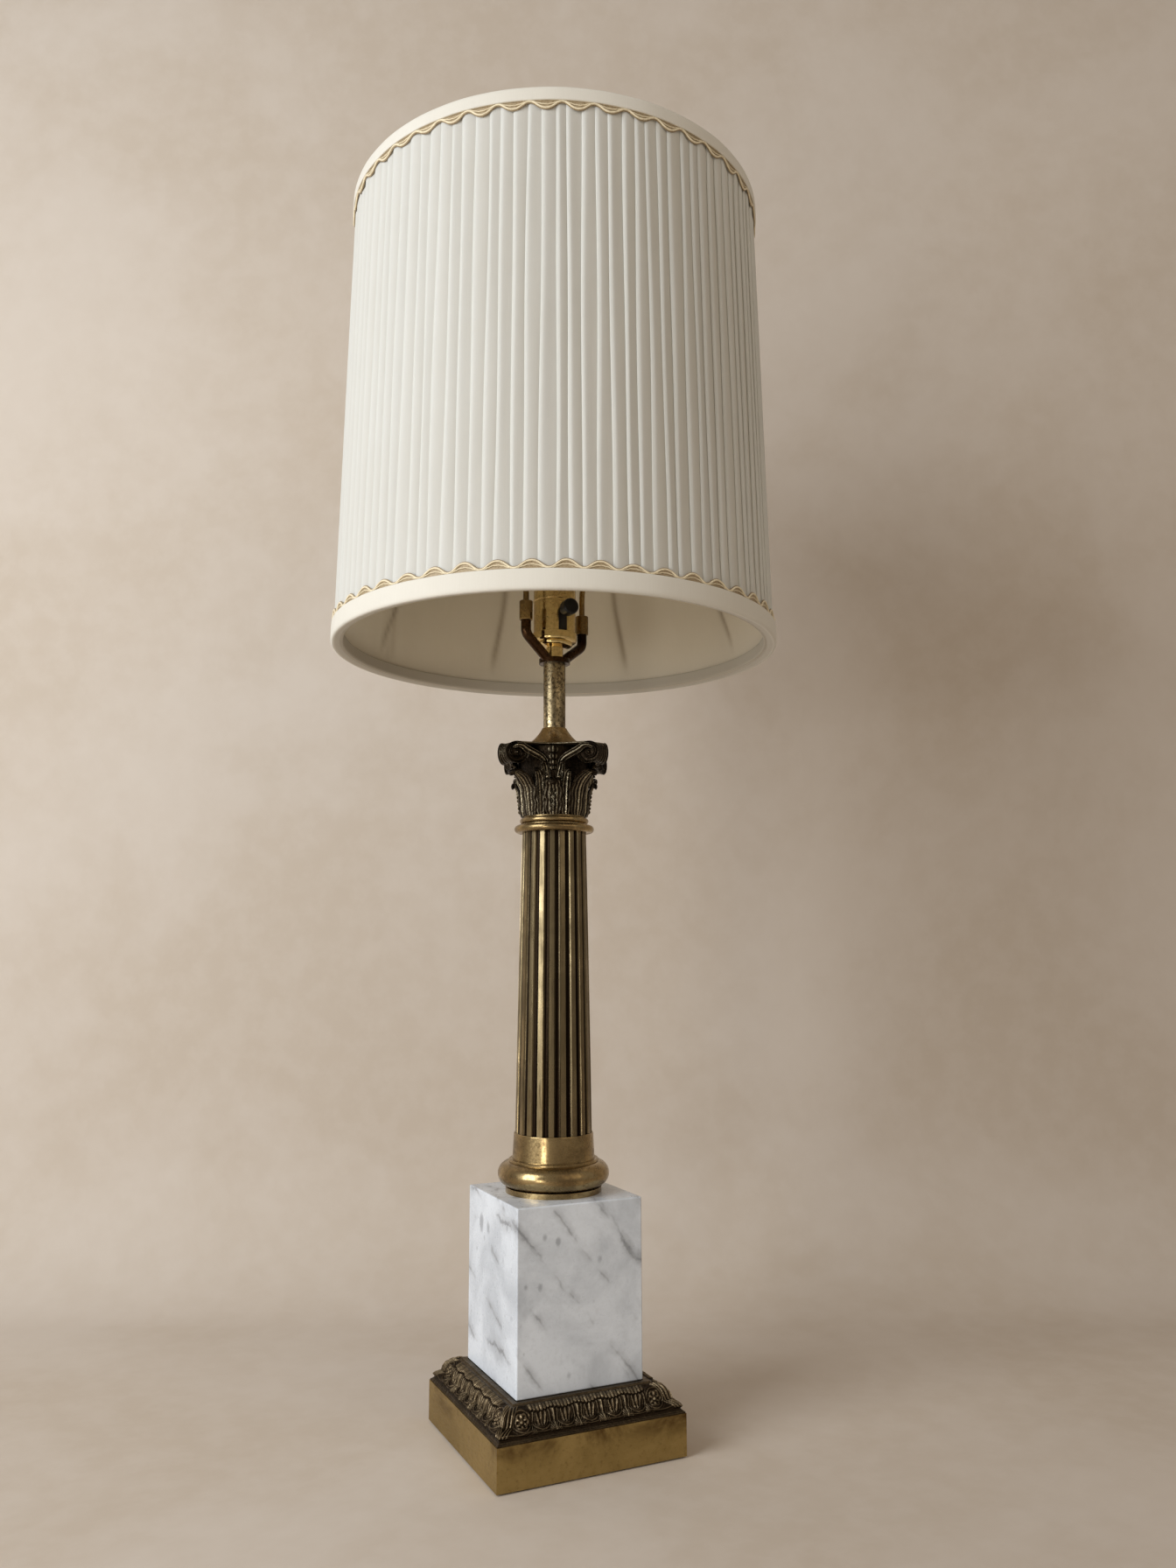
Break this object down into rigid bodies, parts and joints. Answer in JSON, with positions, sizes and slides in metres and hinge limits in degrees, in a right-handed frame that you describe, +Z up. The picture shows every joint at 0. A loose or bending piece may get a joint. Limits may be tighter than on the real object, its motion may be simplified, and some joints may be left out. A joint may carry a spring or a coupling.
{
  "type": "column table lamp",
  "caption": "Table lamp with a fluted column on a square stepped pedestal and stone block, a carved capital, and a tall pleated drum shade on a harp.",
  "frame": {"origin": "centre of the underside, on the table", "axes": "+Z up the column; X and Y square to the base, +Y to the side with the cord inlet, -Y to the side with the switch"},
  "size_m": [0.356, 0.356, 0.973],
  "materials": {
    "felt": "dense felt",
    "plinth_brass": "aged, lightly brushed",
    "moulding_bronze": "dark antiqued",
    "marble": "polished, veined",
    "column_brass": "antiqued, dark in the flutes",
    "bright_brass": "polished",
    "capital_bronze": "dark antiqued",
    "zinc_steel": "zinc plated",
    "black_bushing": "satin",
    "stem_brass": "worn, speckled",
    "harp_brass": "dull",
    "socket_brass": "bright, lacquered",
    "socket_paper": "fibre sleeve",
    "phenolic": "moulded",
    "knob_black": "satin",
    "screw_brass": "plain",
    "bulb_glass": "frosted white",
    "bulb_metal": "plain",
    "black_glass": "glossy",
    "shade_wire": "plated wire",
    "shade_cloth": "pleated, woven",
    "lining_cloth": "thin, smooth",
    "binding_cloth": "folded tape",
    "gimp_braid": "scalloped braid"
  },
  "bodies": {
    "lamp_body": {"felt_pad": "felt", "base_plinth": "plinth_brass", "base_moulding": "moulding_bronze", "marble_block": "marble", "cord_bushing": "black_bushing", "threaded_rod": "zinc_steel", "base_washer": "zinc_steel", "lock_washer": "zinc_steel", "rod_nut": "zinc_steel", "column_foot": "bright_brass", "foot_collar": "bright_brass", "column_shaft": "column_brass", "astragal_ring": "bright_brass", "capital": "capital_bronze", "vase_cap": "column_brass", "stem_tube": "stem_brass", "harp_saddle": "harp_brass", "socket_cap": "socket_brass", "socket_set_screw": "screw_brass", "socket_shell": "socket_brass", "socket_liner": "socket_paper", "socket_body": "phenolic", "terminal_screws": "screw_brass", "screw_shell": "bulb_metal", "centre_contact": "screw_brass"},
    "switch": {"switch_shaft": "screw_brass", "switch_knob": "knob_black"},
    "harp": {"harp_bow": "harp_brass", "harp_stud": "screw_brass"},
    "ferrule_left": {"ferrule_left": "bright_brass"},
    "ferrule_right": {"ferrule_right": "bright_brass"},
    "shade": {"spider_hub": "shade_wire", "spider_arms": "shade_wire", "shade_top_ring": "shade_wire", "shade_bottom_ring": "shade_wire", "shade_ribs": "shade_wire", "shade_cover": "shade_cloth", "shade_lining": "lining_cloth", "top_binding": "binding_cloth", "bottom_binding": "binding_cloth", "top_gimp": "gimp_braid", "bottom_gimp": "gimp_braid"},
    "finial": {"finial": "bright_brass"},
    "bulb": {"bulb_glass": "bulb_glass", "bulb_base": "bulb_metal", "bulb_insulator": "black_glass", "bulb_contact": "screw_brass"}
  },
  "joints": [
    {"name": "switch_turn", "type": "hinge", "parent": "lamp_body", "child": "switch", "pos_m": [0, -0.025, 0.6304], "axis": [0, -1, 0], "continuous": true},
    {"name": "harp_lift", "type": "slide", "parent": "lamp_body", "child": "harp", "axis": [0, 0, 1], "range_m": [0, 0.025]},
    {"name": "ferrule_left_lift", "type": "slide", "parent": "harp", "child": "ferrule_left", "axis": [0, 0, 1], "range_m": [0, 0.012]},
    {"name": "ferrule_right_lift", "type": "slide", "parent": "harp", "child": "ferrule_right", "axis": [0, 0, 1], "range_m": [0, 0.012]},
    {"name": "shade_turn", "type": "hinge", "parent": "harp", "child": "shade", "pos_m": [0, 0, 0.9339], "axis": [0, 0, 1], "continuous": true},
    {"name": "finial_turn", "type": "hinge", "parent": "harp", "child": "finial", "pos_m": [0, 0, 0.9445], "axis": [0, 0, 1], "continuous": true},
    {"name": "bulb_turn", "type": "hinge", "parent": "lamp_body", "child": "bulb", "pos_m": [0, 0, 0.66], "axis": [0, 0, 1], "continuous": true}
  ]
}
